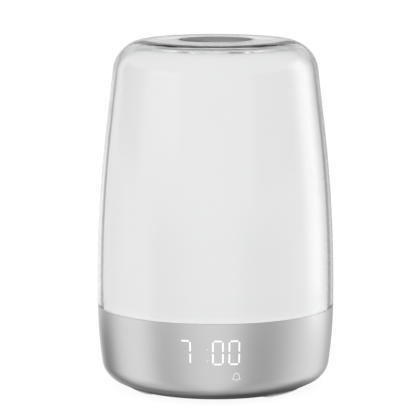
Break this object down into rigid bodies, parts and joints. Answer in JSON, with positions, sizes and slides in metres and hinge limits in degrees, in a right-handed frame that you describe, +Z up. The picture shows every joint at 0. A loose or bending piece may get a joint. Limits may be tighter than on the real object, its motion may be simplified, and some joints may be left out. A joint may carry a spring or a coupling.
{
  "type": "sunrise alarm clock",
  "caption": "Bedside sunrise lamp and alarm clock: clear domed shade over an opal diffuser, satin base with a lit display, push button on top and control keys at the back.",
  "frame": {"origin": "on the table plane under the middle of the clock, at the undersides of the feet", "axes": "+Z up along the clock's axis, -Y towards the display at the front, +Y towards the rear panel"},
  "size_m": [0.125, 0.125, 0.1835],
  "materials": {
    "clear_plastic": "clear acrylic, polished",
    "opal_plastic": "opal white, satin",
    "silver_housing": "satin anodised",
    "polished_ring": "polished",
    "button_metal": "fine satin, darker than the base",
    "white_plastic": "moulded, white",
    "dark_plastic": "moulded, dark grey",
    "key_plastic": "moulded, mid grey",
    "board_green": "solder mask, green",
    "board_white": "solder mask, white",
    "led_yellow": "phosphor over a white package",
    "chip_black": "moulded epoxy, black",
    "plate_aluminium": "mill finish",
    "steel": "zinc plated",
    "spring_steel": "bright wire",
    "cell_steel": "nickel plated",
    "pin_brass": "nickel plated brass",
    "lead_jacket": "black jacket",
    "magnet_ferrite": "ferrite with a dark coat",
    "speaker_steel": "black paint",
    "speaker_paper": "pressed paper, black",
    "foam": "closed-cell foam",
    "foot_rubber": "moulded, pale grey"
  },
  "bodies": {
    "clock": {"outer_dome": "clear_plastic", "light_diffuser": "opal_plastic", "button_collar": "polished_ring", "collar_nut": "white_plastic", "button_spring": "spring_steel", "button_board": "board_green", "button_switch": "chip_black", "centre_post": "white_plastic", "button_lead": "lead_jacket", "lamp_reflector": "white_plastic", "lamp_board": "board_white", "lamp_leds": "led_yellow", "lamp_screws": "steel", "heat_plate": "plate_aluminium", "light_tray": "white_plastic", "base_housing": "silver_housing", "display_block": "dark_plastic", "display_board": "board_green", "main_board": "board_green", "board_screws": "steel", "processor_chip": "chip_black", "capacitors": "chip_black", "cell_holder": "dark_plastic", "backup_cell": "cell_steel", "rear_panel": "dark_plastic", "rear_board": "board_green", "rear_switches": "chip_black", "power_jack": "chip_black", "jack_pin": "pin_brass", "speaker_frame": "speaker_steel", "speaker_cone": "speaker_paper", "speaker_magnet": "magnet_ferrite", "speaker_gasket": "foam", "bottom_cover": "dark_plastic", "bottom_screws": "steel", "rubber_feet": "foot_rubber"},
    "top_button": {"top_button": "button_metal"},
    "clock_key": {"clock_key": "key_plastic"},
    "alarm_key": {"alarm_key": "key_plastic"},
    "minus_key": {"minus_key": "key_plastic"},
    "plus_key": {"plus_key": "key_plastic"},
    "sound_key": {"sound_key": "key_plastic"}
  },
  "joints": [
    {"name": "top_button_press", "type": "slide", "parent": "clock", "child": "top_button", "axis": [0, 0, -1], "range_m": [0, 0.001], "stiffness_N_per_m": 900, "springref_m": -0.002, "deforming": ["button_spring"]},
    {"name": "clock_key_press", "type": "slide", "parent": "clock", "child": "clock_key", "axis": [0, -1, 0], "range_m": [0, 0.0008], "stiffness_N_per_m": 500, "springref_m": -0.0015},
    {"name": "alarm_key_press", "type": "slide", "parent": "clock", "child": "alarm_key", "axis": [0, -1, 0], "range_m": [0, 0.0008], "stiffness_N_per_m": 500, "springref_m": -0.0015},
    {"name": "minus_key_press", "type": "slide", "parent": "clock", "child": "minus_key", "axis": [0, -1, 0], "range_m": [0, 0.0008], "stiffness_N_per_m": 500, "springref_m": -0.0015},
    {"name": "plus_key_press", "type": "slide", "parent": "clock", "child": "plus_key", "axis": [0, -1, 0], "range_m": [0, 0.0008], "stiffness_N_per_m": 500, "springref_m": -0.0015},
    {"name": "sound_key_press", "type": "slide", "parent": "clock", "child": "sound_key", "axis": [0, -1, 0], "range_m": [0, 0.0008], "stiffness_N_per_m": 500, "springref_m": -0.0015}
  ]
}
